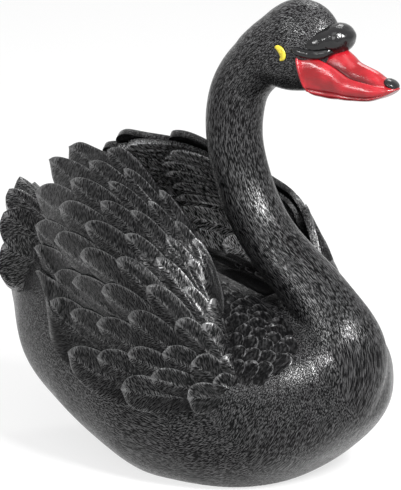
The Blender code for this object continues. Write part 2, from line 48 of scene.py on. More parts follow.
CROP_LENGTH = 0.092
CROP_WIDTH = 0.104
CROP_DEPTH = 0.086
CROP_SETBACK = 0.0423
CROP_RISE = 0.086

# Shares: height of the hull's widest line, its first and last ring
BODY_WAIST = 0.46
HULL_ENDS = (0.0006, 0.9994)

# Neck
NECK_WIDTH = 0.042
NECK_ROOT_WIDTH = 0.069
NECK_SWING = 0.103
NECK_SETBACK = 0.1228
STANDING_HEIGHT = 0.3595

# Shares: foot of the neck in the body's height, its end below the crown in the head's
NECK_FOOT = 0.40
NECK_JOINT = 0.35

# Head, knob and eyes
HEAD_LENGTH = 0.090
HEAD_WIDTH = 0.044
HEAD_DEPTH = 0.068
HEAD_ROUNDNESS = 2.17
NAPE_OVERHANG = 0.003
KNOB_LENGTH = 0.047
KNOB_WIDTH = 0.034
KNOB_DEPTH = 0.024
KNOB_PITCH = math.radians(15.0)
KNOB_RISE = 0.0412
KNOB_SINK = 0.0090
KNOB_STEP = 0.0007
KNOB_PASSES = 12
LORE_WIDTH = 0.0072
EYE_LENGTH = 0.011
EYE_HEIGHT = 0.009
EYE_DEPTH = 0.07 * HEAD_WIDTH
EYE_SETBACK = 0.036
EYE_RISE = 0.032
EYE_BULGE = 0.0006
IRIS_THICKNESS = 0.0014
IRIS_BEND = 0.6

# Bill
BILL_LENGTH = 0.0746
BILL_WIDTH = 0.036
BILL_DEPTH = 0.040
BILL_OVERLAP = 0.0205
BILL_DROP = 0.0007
BILL_SLANT = 0.013
NAIL_LENGTH = 0.012
NAIL_WIDTH = 0.0125
NAIL_DEPTH = 0.006
NAIL_PITCH = math.radians(-28.0)

# Shares: nail's middle behind the bill's tip in its own length, its height in the bill's
NAIL_SETBACK = 0.46
NAIL_RISE = 0.39

# Wings
WING_LENGTH = 0.215
WING_SETBACK = 0.0392
WING_RISE = 0.083
WING_ROOT_THICKNESS = 0.020
WING_TIP_THICKNESS = 0.007
WING_FOOT_THICKNESS = 0.024
WING_FAN = 0.13
WING_FAN_LEVEL = 0.35
WING_THINNING = (0.45, 0.75)
WING_FOOT_FADE = 3.0

# Tail
TAIL_LENGTH = 0.091
TAIL_WIDTH = 0.094
TAIL_THICKNESS = 0.010
TAIL_ARCH = 0.040
TAIL_SLOPE = math.radians(29.0)
TAIL_OVERLAP = 0.0797
TAIL_RISE = 0.1395
TAIL_FEATHERS = 7

# Tail shares: width at the root, how much shorter its sides are; curve of its outline
TAIL_ROOT = 0.55
TAIL_SWEEP = 0.30
TAIL_CURVE = 1.8
TAIL_WEAR = 0.3

# Tail feathers: root and tip on the tail, and their depth in shares of its thickness
TAIL_FEATHER_SPAN = (0.1, 1.03)
TAIL_FEATHER_SINK = 0.8

# Relief
FEATHER_LIFT = 0.0042
FEATHER_SINK = 0.0030
SCALE_LIFT = 0.0026
SCALE_ROWS = 9
SCALE_COLUMNS = 4
BACK_ROWS = 6
BACK_FEATHERS = 5
BACK_TURN = math.radians(88.0)

# Length of a scale and of a back feather, in rows
SCALE_REACH = 1.6
BACK_REACH = 1.9

# Shares of the body where the back's feathers start, and how far they run back
BACK_START = 0.68
BACK_SPAN = 0.46

# Skin: cell size and smoothing passes; degrees up to which an edge looks smooth
SKIN_STEP = 0.00176
SKIN_PASSES = 8
CREASE_ANGLE = 50.0

# Turns a point of the right side into its mirror image on the left
MIRROR = np.array((1.0, -1.0, 1.0))

# Lobes of the knob, in shares of its length, width and depth: half sizes and places
KNOB_LONG_LOBE = (0.50, 0.50, 0.46)
KNOB_BLUNT_LOBE = (0.25, 0.43, 0.47)
KNOB_SIDE_LOBE = (0.32, 0.20, 0.32)
KNOB_SIDE_PLACE = (-0.10, 0.34, -0.10)
KNOB_BLUNT_SHIFT = 0.22

# Bead ends: rings that round them off, and the share of a ring left at the very end
BEAD_END_RINGS = 6.0
BEAD_END_OPENING = 0.3

# Camera: where it looks, from which side in degrees, how far off and how much it sees
AIM = np.array((-0.0308, 0.0139, 0.1578))
AZIMUTH = 38.0
ELEVATION = 14.0
CAMERA_DISTANCE = 4.0
VIEW_HEIGHT = 0.3657
SENSOR = 36.0

# Lamps: name, azimuth and elevation in degrees, distance, width, height, watts
LAMPS = (
    ("key", 71.0, 38.0, 2.2, 0.60, 0.60, 82.0),
    ("left", -12.0, 22.0, 2.2, 0.35, 0.50, 14.0),
    ("front", 30.0, 24.0, 2.6, 1.0, 1.0, 16.0),
    ("top", 25.0, 60.0, 2.4, 0.9, 0.9, 6.0),
    ("back", 200.0, 55.0, 2.4, 0.7, 0.7, 12.0),
)

# Brightness of the surroundings as a light; the floor's reach and glow
WORLD_LIGHT = 0.35
FLOOR_REACH = 8.0
FLOOR_GLOW = 0.72

# Body sections from the rear: share of length, half width, top and bottom height
BODY_SECTIONS = (
    (0.000, 0.000, 0.700, 0.700),
    (0.012, 0.160, 0.800, 0.640),
    (0.047, 0.275, 0.880, 0.500),
    (0.126, 0.515, 0.955, 0.275),
    (0.252, 0.730, 1.000, 0.125),
    (0.377, 0.865, 0.995, 0.003),
    (0.503, 0.973, 0.965, -0.080),
    (0.629, 1.000, 0.915, -0.085),
    (0.739, 0.930, 0.870, -0.065),
    (0.833, 0.840, 0.825, 0.027),
    (0.912, 0.705, 0.760, 0.155),
    (0.969, 0.440, 0.645, 0.280),
    (0.991, 0.236, 0.545, 0.349),
    (1.000, 0.000, 0.440, 0.440),
)

# Neck line: share of the swing, share of the climb, width share, depth share
NECK_LINE = (
    (0.58, -0.130, -0.60, -0.60),
    (0.79, -0.060, 0.20, 0.20),
    (0.93, 0.030, 0.56, 0.60),
    (0.97, 0.150, 0.77, 0.81),
    (0.77, 0.274, 0.21, 0.25),
    (0.365, 0.402, 0.01, 0.03),
    (0.146, 0.510, 0.00, 0.00),
    (0.01, 0.649, -0.02, -0.02),
    (0.00, 0.761, 0.03, 0.03),
    (0.10, 0.856, 0.00, 0.04),
    (0.385, 0.955, 0.03, 0.15),
    (0.575, 1.000, 0.03, 0.25),
    (0.72, 1.010, -0.30, -0.10),
)

# Head sections: share of length from the nape, half width, top, bottom
HEAD_SECTIONS = (
    (0.00, 0.40, 0.34, 0.10),
    (0.06, 0.72, 0.51, 0.00),
    (0.16, 0.90, 0.64, -0.04),
    (0.28, 0.97, 0.765, 0.02),
    (0.41, 1.00, 0.87, 0.015),
    (0.53, 1.00, 0.95, 0.00),
    (0.64, 0.98, 0.99, 0.01),
    (0.74, 0.93, 0.995, 0.03),
    (0.84, 0.84, 0.945, 0.05),
    (0.92, 0.68, 0.86, 0.08),
    (0.975, 0.48, 0.75, 0.20),
    (1.00, 0.20, 0.62, 0.35),
)

# Bill sections: share of length from the root, half width, top, bottom, groove, cheek
BILL_SECTIONS = (
    (0.00, 1.12, 0.95, 0.06, 0.0, 1.0),
    (0.03, 1.17, 0.96, 0.04, 0.1, 1.0),
    (0.07, 1.12, 0.97, 0.02, 0.4, 1.0),
    (0.15, 1.07, 0.98, 0.01, 0.8, 0.9),
    (0.26, 1.02, 0.97, 0.00, 1.0, 0.6),
    (0.38, 0.98, 0.90, 0.01, 1.0, 0.3),
    (0.46, 0.94, 0.81, 0.01, 1.0, 0.1),
    (0.55, 0.88, 0.69, 0.02, 1.0, 0.0),
    (0.73, 0.78, 0.59, 0.05, 0.9, 0.0),
    (0.84, 0.68, 0.49, 0.12, 0.4, 0.0),
    (0.93, 0.49, 0.41, 0.21, 0.0, 0.0),
    (1.00, 0.14, 0.34, 0.30, 0.0, 0.0),
)

# Bill outline from ridge to keel: share of half width and of depth, groove, cheek
BILL_OUTLINE = (
    (0.00, 1.00, 0.00, 0.00),
    (0.22, 0.96, 0.00, 0.00),
    (0.42, 0.84, 0.02, 0.02),
    (0.56, 0.74, 0.10, 0.06),
    (0.66, 0.70, 0.10, 0.10),
    (0.82, 0.62, 0.00, 0.16),
    (0.97, 0.46, 0.00, 0.20),
    (1.00, 0.32, 0.00, 0.08),
    (0.93, 0.19, 0.00, 0.00),
    (0.84, 0.14, 0.00, 0.00),
    (0.84, 0.08, 0.00, 0.00),
    (0.62, 0.01, 0.00, 0.00),
    (0.30, 0.00, 0.00, 0.00),
    (0.00, 0.00, 0.00, 0.00),
)

# Lip at the bill's root: stretch of the outline, place along the sections, width
GAPE_SPAN = (0.30, 0.78)
GAPE_SHARE = 0.05
GAPE_WIDTH = 0.0024

# Roll between knob and bill: back to front, out, height, from the head's front and chin
LORE_LINE = (
    (-0.029, 0.0178, 0.0355),
    (-0.023, 0.0188, 0.0345),
    (-0.016, 0.0180, 0.0333),
    (-0.009, 0.0158, 0.0330),
    (-0.003, 0.0122, 0.0340),
    (0.000, 0.0070, 0.0360),
    (0.001, 0.0000, 0.0370),
)

# Crescent of the eye: along, up and half width from the eye's middle
IRIS_LINE = (
    (-0.0036, 0.0036, 0.0010),
    (-0.0012, 0.0034, 0.0022),
    (0.0016, 0.0018, 0.0029),
    (0.0031, -0.0008, 0.0029),
    (0.0030, -0.0034, 0.0023),
    (0.0010, -0.0054, 0.0009),
)

# Wing net, one line from low to high and in it shoulder to tip: along, out, height
# Heights up to one are shares of the body, above one of the wing's rise
WING_NET = (
    ((0.92, 0.80, 0.48), (0.70, 1.01, 0.44), (0.42, 1.00, 0.46), (0.15, 0.84, 0.61), (-0.01, 0.60, 0.82)),
    ((0.91, 0.79, 0.52), (0.68, 0.97, 0.63), (0.41, 0.90, 0.76), (0.13, 0.69, 0.86), (-0.01, 0.61, 0.99)),
    ((0.90, 0.77, 0.57), (0.73, 0.89, 0.83), (0.48, 0.93, 1.13), (0.19, 0.76, 1.29), (-0.06, 0.48, 1.30)),
    ((0.87, 0.73, 0.63), (0.73, 0.77, 0.99), (0.50, 0.75, 1.45), (0.20, 0.57, 1.66), (-0.05, 0.33, 1.72)),
    ((0.83, 0.68, 0.69), (0.69, 0.67, 1.29), (0.53, 0.58, 1.61), (0.28, 0.42, 1.87), (0.07, 0.29, 1.88)),
)

# Edges of the scaled shoulder, breast to back: share of body length, turn in degrees
SCALE_WING_SIDE = ((0.77, 22.0), (0.77, 44.0), (0.74, 60.0), (0.67, 72.0), (0.57, 80.0))
SCALE_NECK_SIDE = ((0.88, 26.0), (0.90, 48.0), (0.87, 62.0), (0.80, 73.0), (0.66, 81.0))

# Feather rows on a wing: root, tip, count, lift share
WING_ROWS = (
    (0.50, 1.040, 6, 1.00),
    (0.38, 0.85, 7, 1.00),
    (0.28, 0.69, 8, 0.95),
    (0.19, 0.55, 8, 0.90),
    (0.10, 0.42, 7, 0.85),
    (0.03, 0.30, 6, 0.75),
    (-0.04, 0.19, 4, 0.70),
    (-0.09, 0.10, 3, 0.70),
)

# Feather rows on the wing's inner face: root, tip, count
WING_INNER_ROWS = (
    (0.30, 0.62, 7),
    (0.46, 0.82, 8),
    (0.66, 1.01, 8),
)

# Share of the wing's height where the feathers of its inner face begin
LINING_FOOT = 0.28

# Feather as it is unless a form below says otherwise: grid, sideways turn toward
# the tip, share of the lift by which one edge rides over the next feather, height
# of shaft and rim, and how light the paint of vane, edge and shaft is, with painted light on the wing's
# inner face
PLAIN_FEATHER = {
    "rows": 28,
    "columns": 15,
    "drift": 0.0,
    "lap": 0.0,
    "shaft": 0.0,
    "rim": 0.0,
    "vane_light": 0.35,
    "edge": 1.3,
    "quill": 0.6,
}
WING_FORM = {"lap": 0.40, "shaft": 0.0008, "vane_light": 0.20, "edge": 1.6, "quill": 0.9}
# The inner face's vanes are painted lighter: painted light on a face that lies in shade.
LINING_FORM = {"lap": 0.25, "shaft": 0.0008, "vane_light": 0.55}
SCALE_FORM = {"rows": 26, "columns": 19, "lap": 0.15, "rim": 0.0008, "vane_light": 0.05, "edge": 1.8, "quill": 0.0}
BACK_FORM = {"lap": 0.25, "shaft": 0.0006, "vane_light": 0.05, "edge": 1.1, "quill": 0.2}
TAIL_FORM = {"rows": 40, "columns": 19, "lap": 0.2, "shaft": 0.0007}

# Width of a feather in distances to the next one beside it
WING_FEATHER_WIDTH = 1.30
LINING_FEATHER_WIDTH = 0.94
SCALE_WIDTH = 1.2
BACK_FEATHER_WIDTH = 1.25
TAIL_FEATHER_WIDTH = 1.75

# Hand-made unevenness of the wing's feathers: reach, lift and turn
WING_JITTER = (0.018, 0.10, 0.012)

# Feather's outline: share of its length where the tip starts to round off, roundness
# of the tip, width at the root, and how its grid crowds toward tip and shaft
TIP_START = 0.55
TIP_ROUNDNESS = 2.6
ROOT_WIDTH = 0.80
TIP_CROWDING = 1.8
SHAFT_CROWDING = 1.35

# Feather's section: how much lower its sides lie, half width of shaft and of worn line
SIDE_DROP = 0.45
SHAFT_HALF = 0.09
WORN_HALF = 0.10

# Shares of a wing or tail, along and up, that the plain slab under its feathers covers
SLAB_REACH = 0.94
SLAB_RISE = 0.98

# Shift of an underside in the grain: below a feather, below a wing or tail
FEATHER_UNDERSIDE = 0.012
SLAB_UNDERSIDE = 0.025

# Course of the engraved strokes past the neck, under the hull to the stern: x, z
GRAIN_TAIL = (
    (0.108, 0.075),
    (0.085, 0.035),
    (0.030, 0.015),
    (-0.060, 0.030),
    (-0.140, 0.075),
    (-0.230, 0.150),
)

# Forehead where the strokes begin, as a share of the head's height
FOREHEAD_RISE = 0.55

# Points that are set against the strokes' course in one go
GRAIN_BATCH = 4000

# Heights between which the strokes of the neck turn finer toward the head, and paler there with a painted
# highlight
FINE_STROKES = (0.26, 0.33)

# Wear of the skin, and the painted highlight, lighter and glossier strokes, that the head has on top of it
SKIN_WEAR = 0.5
HEAD_HIGHLIGHT = 0.4

# Blacks: grooves, painted near black as painted shade, and the strokes of neck, wing, shoulder scale and
# the wing's inner face; the scales' strokes are painted darker as painted shade, the inner face's far
# lighter as painted light
SHADED_GROOVE_BLACK = (0.0015, 0.0015, 0.0017, 1.0)
HAIR_GREY = (0.15, 0.15, 0.153, 1.0)
FEATHER_GREY = (0.105, 0.105, 0.107, 1.0)
# The shoulder scales are painted darker: painted shade in the hollow between neck and wing.
SHADED_SCALE_GREY = (0.085, 0.085, 0.087, 1.0)
# The wing's inner face is painted pale grey: painted light on a face that lies in shade.
LIT_LINING_GREY = (0.80, 0.80, 0.81, 1.0)
GLOSS_BLACKS = ((0.002, 0.002, 0.0022, 1.0), (0.007, 0.007, 0.0075, 1.0))

# Colours: brushed red, the darker red of painted shade in the bill's grooves, brushed yellow
REDS = ((0.22, 0.003, 0.006, 1.0), (0.40, 0.009, 0.018, 1.0))
SHADED_GROOVE_RED = (0.055, 0.001, 0.002, 1.0)
YELLOWS = ((0.46, 0.36, 0.02, 1.0), (0.72, 0.60, 0.05, 1.0))
WHITE = (1.0, 1.0, 1.0, 1.0)
FLOOR_GREY = (0.30, 0.30, 0.30, 1.0)

# Barbs: how far they stretch from the shaft, and shifts that set sides and feathers apart
BARB_STRETCH = 0.28
SIDE_SHIFT = 0.37
FEATHER_SHIFT = 0.31

# Relief of strokes and of the dents under them, metres
STROKE_DEPTHS = (0.00008, 0.00018)
SCALE_DEPTHS = (0.00008, 0.0004)


# Shape helpers

def spline_weights(place, count):
    """Smooth curve weights of each control point at each place, 0 to 1."""
    place = np.asarray(place, float) * (count - 1)
    cell = np.clip(np.floor(place).astype(int), 0, count - 2)
    t = place - cell
    parts = (
        -0.5 * t + t ** 2 - 0.5 * t ** 3,
        1.0 - 2.5 * t ** 2 + 1.5 * t ** 3,
        0.5 * t + 2.0 * t ** 2 - 1.5 * t ** 3,
        -0.5 * t ** 2 + 0.5 * t ** 3,
    )
    weights = np.zeros((place.size, count))
    rows = np.arange(place.size)
    for shift, part in zip((-1, 0, 1, 2), parts):
        index = cell + shift
        low = index < 0
        high = index > count - 1
        inside = ~(low | high)
        np.add.at(weights, (rows[inside], index[inside]), part[inside])
        np.add.at(weights, (rows[low], 0), 2.0 * part[low])
        np.add.at(weights, (rows[low], 1), -part[low])
        np.add.at(weights, (rows[high], count - 1), 2.0 * part[high])
        np.add.at(weights, (rows[high], count - 2), -part[high])
    return weights


def spline(table, place):
    """Rows of a table read smoothly at each place, 0 to 1."""
    table = np.asarray(table, float)
    return spline_weights(np.atleast_1d(place), len(table)) @ table


def unit(vectors):
    """Vectors scaled to length one."""
    return vectors / np.maximum(np.linalg.norm(vectors, axis=-1, keepdims=True), 1e-12)


def smooth_step(low, high, value):
    t = np.clip((value - low) / (high - low), 0.0, 1.0)
    return t * t * (3.0 - 2.0 * t)


def round_power(value, power):
    return np.sign(value) * np.abs(value) ** power


def joined(*parts):
    """Coordinates of many points side by side."""
    return np.stack(parts, axis=-1)


def path_lengths(points):
    """Distance from the first point to each one along the line."""
    steps = np.linalg.norm(np.diff(points, axis=0), axis=-1)
    return np.concatenate([[0.0], np.cumsum(steps)])


def full_turn(around):
    """Evenly spaced angles round a ring."""
    return np.linspace(0.0, 2.0 * math.pi, around, endpoint=False)


def crowded_ends(count):
    """Places 0 to 1 that lie closer together toward both ends."""
    return 0.5 - 0.5 * np.cos(np.linspace(0.0, math.pi, count))


def grid_places(first, second):
    """Two grids of evenly spaced places, each from start, end and count."""
    return np.meshgrid(np.linspace(*first), np.linspace(*second), indexing="ij")


def tube_faces(rings, around):
    """Side walls and two fan caps for rings stacked end to end."""
    faces = []
    for i in range(rings - 1):
        for j in range(around):
            k = (j + 1) % around
            faces.append((i * around + j, i * around + k, (i + 1) * around + k, (i + 1) * around + j))
    first = rings * around
    last = first + 1
    for j in range(around):
        k = (j + 1) % around
        faces.append((first, k, j))
        faces.append((last, (rings - 1) * around + j, (rings - 1) * around + k))
    return faces


def tube(rings):
    """Closed shell through rings of points."""
    rings = np.asarray(rings)
    ends = np.stack([rings[0].mean(axis=0), rings[-1].mean(axis=0)])
    points = np.concatenate([rings.reshape(-1, 3), ends])
    return points, tube_faces(len(rings), rings.shape[1])


def ball(centre, sizes, pitch=0.0, rings=32, around=40):
    """Ellipsoid with its long axis pitched up toward the front."""
    turns = full_turn(around)
    grid = []
    for angle in np.linspace(0.0, math.pi, rings + 2)[1:-1]:
        along = np.full(around, -math.cos(angle)) * sizes[0]
        y = math.sin(angle) * np.cos(turns) * sizes[1]
        up = math.sin(angle) * np.sin(turns) * sizes[2]
        x = along * math.cos(pitch) - up * math.sin(pitch)
        z = along * math.sin(pitch) + up * math.cos(pitch)
        grid.append(joined(x, y, z))
    points, faces = tube(grid)
    return points + np.asarray(centre), faces


def bead(line, aside, width, around):
    """Round bead with rounded ends; aside is a direction that the line never takes."""
    along = unit(np.gradient(line, axis=0))
    across = unit(np.cross(along, aside))[:, None]
    up = np.cross(across, along[:, None])
    turns = full_turn(around)[None, :, None]
    ends = np.minimum(np.arange(len(line)), np.arange(len(line))[::-1])
    swell = np.clip((ends + BEAD_END_OPENING) / BEAD_END_RINGS, 0.0, 1.0)
    thick = 0.5 * width * np.sqrt(swell)[:, None, None]
    return tube(line[:, None] + thick * (np.cos(turns) * across + np.sin(turns) * up))


def sheet_faces(rows, columns):
    """Top, bottom and edge faces for two grids laid one over the other."""
    under = rows * columns
    faces = []
    for i in range(rows - 1):
        for j in range(columns - 1):
            a = i * columns + j
            b = a + 1
            c = a + columns + 1
            d = a + columns
            faces.append((a, b, c, d))
            faces.append((under + d, under + c, under + b, under + a))
    rim = list(range(columns))
    rim += [i * columns + columns - 1 for i in range(1, rows)]
    rim += [(rows - 1) * columns + j for j in range(columns - 2, -1, -1)]
    rim += [i * columns for i in range(rows - 2, 0, -1)]
    for a, b in zip(rim, rim[1:] + rim[:1]):
        faces.append((a, under + a, under + b, b))
    return faces


def sheet(top, bottom):
    """Closed shell between two grids of points."""
    rows, columns = top.shape[:2]
    points = np.concatenate([top.reshape(-1, 3), bottom.reshape(-1, 3)])
    return points, sheet_faces(rows, columns)


class Carving:
    """Closed shells gathered into one mesh.

    Each point has its place in the grain (flow) and how light its paint is,
    from 0 to 2: rubbed wear, and in places painted shade and painted light.
    """

    def __init__(self):
        self.points = []
        self.flows = []
        self.faces = []
        self.count = 0

    def add(self, points, faces, flow=None):
        points = np.asarray(points, float).reshape(-1, 3)
        if flow is None:
            flow = np.zeros((len(points), 4))
        self.points.append(points)
        self.flows.append(np.asarray(flow, float).reshape(-1, 4))
        self.faces.extend([tuple(i + self.count for i in face) for face in faces])
        self.count += len(points)

    def to_object(self, name, side=1):
        """Object from the shells; side -1 mirrors them to the left."""
        points = np.concatenate(self.points)
        faces = self.faces
        if side < 0:
            points = points * MIRROR
            faces = [tuple(reversed(face)) for face in faces]
        mesh = bpy.data.meshes.new(name)
        mesh.from_pydata(points.tolist(), [], faces)
        mesh.update()
        write_flow(mesh, np.concatenate(self.flows))
        return link(name, mesh)


def carved(*shells):
    """Carving made of these shells."""
    carving = Carving()
    for shell in shells:
        carving.add(*shell)
    return carving


def write_flow(mesh, flow):
    flow = np.asarray(flow, np.float32)
    layer = mesh.attributes.new("flow", "FLOAT_VECTOR", "POINT")
    layer.data.foreach_set("vector", flow[:, :3].ravel())
    layer = mesh.attributes.new("wear_and_painted_light", "FLOAT", "POINT")
    layer.data.foreach_set("value", flow[:, 3].ravel())


def link(name, data):
    """Object of this data, in the scene."""
    item = bpy.data.objects.new(name, data)
    bpy.context.scene.collection.objects.link(item)
    return item


def mesh_points(mesh):
    flat = np.empty(len(mesh.vertices) * 3, np.float32)
    mesh.vertices.foreach_get("co", flat)
    return flat.reshape(-1, 3).astype(float)


def fuse(item, step, passes):
    """Replace the object's shells by one closed, smoothed skin around them."""
    skin = item.modifiers.new("skin", "REMESH")
    skin.mode = "VOXEL"
    skin.voxel_size = step
    soften = item.modifiers.new("soften", "SMOOTH")
    soften.factor = 0.5
    soften.iterations = passes
    graph = bpy.context.evaluated_depsgraph_get()
    mesh = bpy.data.meshes.new_from_object(item.evaluated_get(graph))
    item.modifiers.clear()
    old = item.data
    item.data = mesh
    bpy.data.meshes.remove(old)


# Body

def body_x(share):
    return share * BODY_LENGTH - REAR_OVERHANG


def breast_x():
    return body_x(1.0)


def share_to_place(share):
    """Place along the section table for a share of the length."""
    steps = np.linspace(0.0, 1.0, 400)
    shares = spline(BODY_SECTIONS, steps)[:, 0]
    return np.interp(share, shares, steps)


def body_point(share, turn):
    """Point on the hull; turn runs from the waterline over the back."""
    half, top, low = spline(BODY_SECTIONS, share_to_place(share)).T[1:4]
    half = np.maximum(half, 0.0)
    waist = low + BODY_WAIST * (top - low)
    power = 2.0 / BODY_ROUNDNESS
    rise = round_power(np.sin(turn), power)
    height = waist + np.where(rise > 0.0, (top - waist) * rise, (waist - low) * rise)
    out = 0.5 * BODY_WIDTH * half * round_power(np.cos(turn), power)
    return joined(body_x(share), out, height * BODY_HEIGHT)


def body_shell(rings=120, around=120):
    """Hull from stern to breast, just short of its two end points."""
    shares = np.clip(crowded_ends(rings), *HULL_ENDS)
    grid = [body_point(np.full(around, share), full_turn(around)) for share in shares]
    return tube(grid)


# Neck

def neck_line(place):
    """Centre, half width and half depth along the neck."""
    swing, climb, wide, deep = spline(NECK_LINE, place).T
    low = NECK_FOOT * BODY_HEIGHT
    high = STANDING_HEIGHT - NECK_JOINT * HEAD_DEPTH
    x = breast_x() - NECK_SETBACK + swing * NECK_SWING
    z = low + climb * (high - low)
    spread = 0.5 * (NECK_ROOT_WIDTH - NECK_WIDTH)
    half = 0.5 * NECK_WIDTH + wide * spread
    depth = 0.5 * NECK_WIDTH + deep * spread
    return joined(x, z), half, depth


def neck_shell(rings=160, around=72):
    place = np.linspace(0.0, 1.0, rings)
    line, half, depth = neck_line(place)
    along = unit(np.gradient(line, axis=0))
    across = joined(-along[:, 1], along[:, 0])
    turns = full_turn(around)
    grid = []
    for centre, side, wide, deep in zip(line, across, half, depth):
        lift = deep * np.sin(turns)
        x = centre[0] + side[0] * lift
        z = centre[1] + side[1] * lift
        grid.append(joined(x, wide * np.cos(turns), z))
    return tube(grid)


# Head

def head_start():
    """Nape end and chin line of the head."""
    return breast_x() - NECK_SETBACK + NAPE_OVERHANG, STANDING_HEIGHT - HEAD_DEPTH


def head_front():
    """Front end and chin line of the head."""
    start, chin = head_start()
    return start + HEAD_LENGTH, chin


def head_shell(rings=80, around=80):
    start, chin = head_start()
    turns = full_turn(around)
    wide = round_power(np.cos(turns), 2.0 / HEAD_ROUNDNESS)
    rise = round_power(np.sin(turns), 2.0 / HEAD_ROUNDNESS)
    grid = []
    for share, half, top, low in spline(HEAD_SECTIONS, crowded_ends(rings)):
        x = np.full(around, start + share * HEAD_LENGTH)
        y = 0.5 * HEAD_WIDTH * half * wide
        z = chin + 0.5 * HEAD_DEPTH * (top + low + (top - low) * rise)
        grid.append(joined(x, y, z))
    return tube(grid)


def crop_shell():
    """Swell of the breast round the root of the neck."""
    middle = (breast_x() - CROP_SETBACK, 0.0, CROP_RISE)
    return ball(middle, (0.5 * CROP_LENGTH, 0.5 * CROP_WIDTH, 0.5 * CROP_DEPTH))


def knob_shells():
    """Long lobe, blunt lobe at the front and a small lobe at each side."""
    front, chin = head_front()
    size = np.array((KNOB_LENGTH, KNOB_WIDTH, KNOB_DEPTH))
    axis = np.array((math.cos(KNOB_PITCH), 0.0, math.sin(KNOB_PITCH)))
    middle = np.array((front - KNOB_SINK, 0.0, chin + KNOB_RISE))
    tip = middle + axis * KNOB_BLUNT_SHIFT * KNOB_LENGTH
    shells = [ball(middle, size * KNOB_LONG_LOBE, KNOB_PITCH)]
    shells.append(ball(tip, size * KNOB_BLUNT_LOBE, KNOB_PITCH))
    for shift in (size * KNOB_SIDE_PLACE * MIRROR, size * KNOB_SIDE_PLACE):
        shells.append(ball(middle + shift, size * KNOB_SIDE_LOBE, KNOB_PITCH))
    return shells


def lore_shell(rings=60, around=14):
    """Roll that runs round the head's front, under the knob and over the bill."""
    front, chin = head_front()
    half = np.asarray(LORE_LINE)
    corners = np.concatenate([half * MIRROR, half[-2::-1]])
    line = spline(corners, np.linspace(0.0, 1.0, rings)) + (front, 0.0, chin)
    return bead(line, (0.0, 0.0, 1.0), LORE_WIDTH, around)


def eye_middle(out):
    """Point of the near side in line with the eye, this far from the head's middle."""
    front, chin = head_front()
    return np.array((front - EYE_SETBACK, -out, chin + EYE_RISE))


def eye_shell():
    middle = eye_middle(0.5 * HEAD_WIDTH + EYE_BULGE - EYE_DEPTH)
    return ball(middle, (0.5 * EYE_LENGTH, EYE_DEPTH, 0.5 * EYE_HEIGHT), 0.0, 24, 32)


def iris_shell(rings=24, around=12):
    """Yellow crescent on the front half of the eye."""
    x, z, half = spline(IRIS_LINE, np.linspace(0.0, 1.0, rings)).T
    fall = IRIS_BEND * EYE_BULGE * (x ** 2 + z ** 2) / (0.5 * EYE_LENGTH) ** 2
    line = joined(x, fall, z)
    along = unit(np.gradient(line, axis=0))
    across = unit(np.cross(along, (0.0, 1.0, 0.0)))
    turns = full_turn(around)
    ring = np.cos(turns)[None, :, None] * across[:, None] * half[:, None, None]
    ring[..., 1] += 0.5 * IRIS_THICKNESS * np.sin(turns)
    return tube(eye_middle(0.5 * HEAD_WIDTH + EYE_BULGE) + line[:, None] + ring)


# Bill

def bill_start():
    """Root and lower edge of the bill."""
    front, chin = head_front()
    return front - BILL_OVERLAP, chin + BILL_DROP


def bill_line(outline, section):
    """Points of the near side, ridge to keel, at one section of the bill."""
    root, low = bill_start()
    share, half, top, floor, groove, cheek = section
    depth = outline[:, 1] - outline[:, 2] * groove + outline[:, 3] * cheek
    x = root + share * BILL_LENGTH + BILL_SLANT * (0.5 - depth) * (1.0 - share) ** 3
    y = -outline[:, 0] * half * 0.5 * BILL_WIDTH
    z = low + BILL_DEPTH * (floor + (top - floor) * depth)
    return joined(x, y, z)


def bill_shell(rings=110, columns=73):
    """Bill with its groove; each point carries painted shade as deep as it lies in the groove."""
    outline = spline(BILL_OUTLINE, np.linspace(0.0, 1.0, columns))
    hollow = np.clip(outline[:, 2] / outline[:, 2].max(), 0.0, 1.0)
    grid = []
    dark = []
    for section in spline(BILL_SECTIONS, np.linspace(0.0, 1.0, rings)):
        side = bill_line(outline, section)
        grid.append(np.concatenate([side, (side * MIRROR)[-2:0:-1]]))
        shade = hollow * section[4]
        dark.append(np.concatenate([shade, shade[-2:0:-1]]))
    points, faces = tube(grid)
    flow = np.zeros((len(points), 4))
    flow[:-2, 3] = np.asarray(dark).ravel()
    return points, faces, flow


def gape_shell(rings=40, around=12):
    """Raised lip down the root edge of the bill's near side."""
    outline = spline(BILL_OUTLINE, np.linspace(*GAPE_SPAN, rings))
    line = bill_line(outline, spline(BILL_SECTIONS, GAPE_SHARE)[0])
    return bead(line, (1.0, 0.0, 0.0), GAPE_WIDTH, around)


def nail_shell():
    root, low = bill_start()
    middle = (root + BILL_LENGTH - NAIL_SETBACK * NAIL_LENGTH, 0.0, low + NAIL_RISE * BILL_DEPTH)
    sizes = (0.5 * NAIL_LENGTH, 0.5 * NAIL_WIDTH, 0.5 * NAIL_DEPTH)
    return ball(middle, sizes, NAIL_PITCH)


# Feathers

def surface_normal(point, u, v, step=0.004):
    """Outward direction of the surface that point(u, v) describes."""
    across = point(u, v + step) - point(u, v - step)
    along = point(u + step, v) - point(u - step, v)
    return unit(np.cross(across, along))


def square_off(point, u, v, step=0.004):
    """Turn each cross line of a feather square to its middle line."""
    middle = v.shape[1] // 2
    line_u = u[:, middle]
    line_v = v[:, middle]
    along = np.gradient(point(line_u, line_v), axis=0)
    first = point(line_u + step, line_v) - point(line_u - step, line_v)
    second = point(line_u, line_v + step) - point(line_u, line_v - step)
    turn = -(second * along).sum(axis=-1) / (first * along).sum(axis=-1)
    across = second + first * turn[:, None]
    size = np.linalg.norm(second, axis=-1) / np.linalg.norm(across, axis=-1)
    aside = (v - line_v[:, None]) * size[:, None]
    return u + aside * turn[:, None], line_v[:, None] + aside


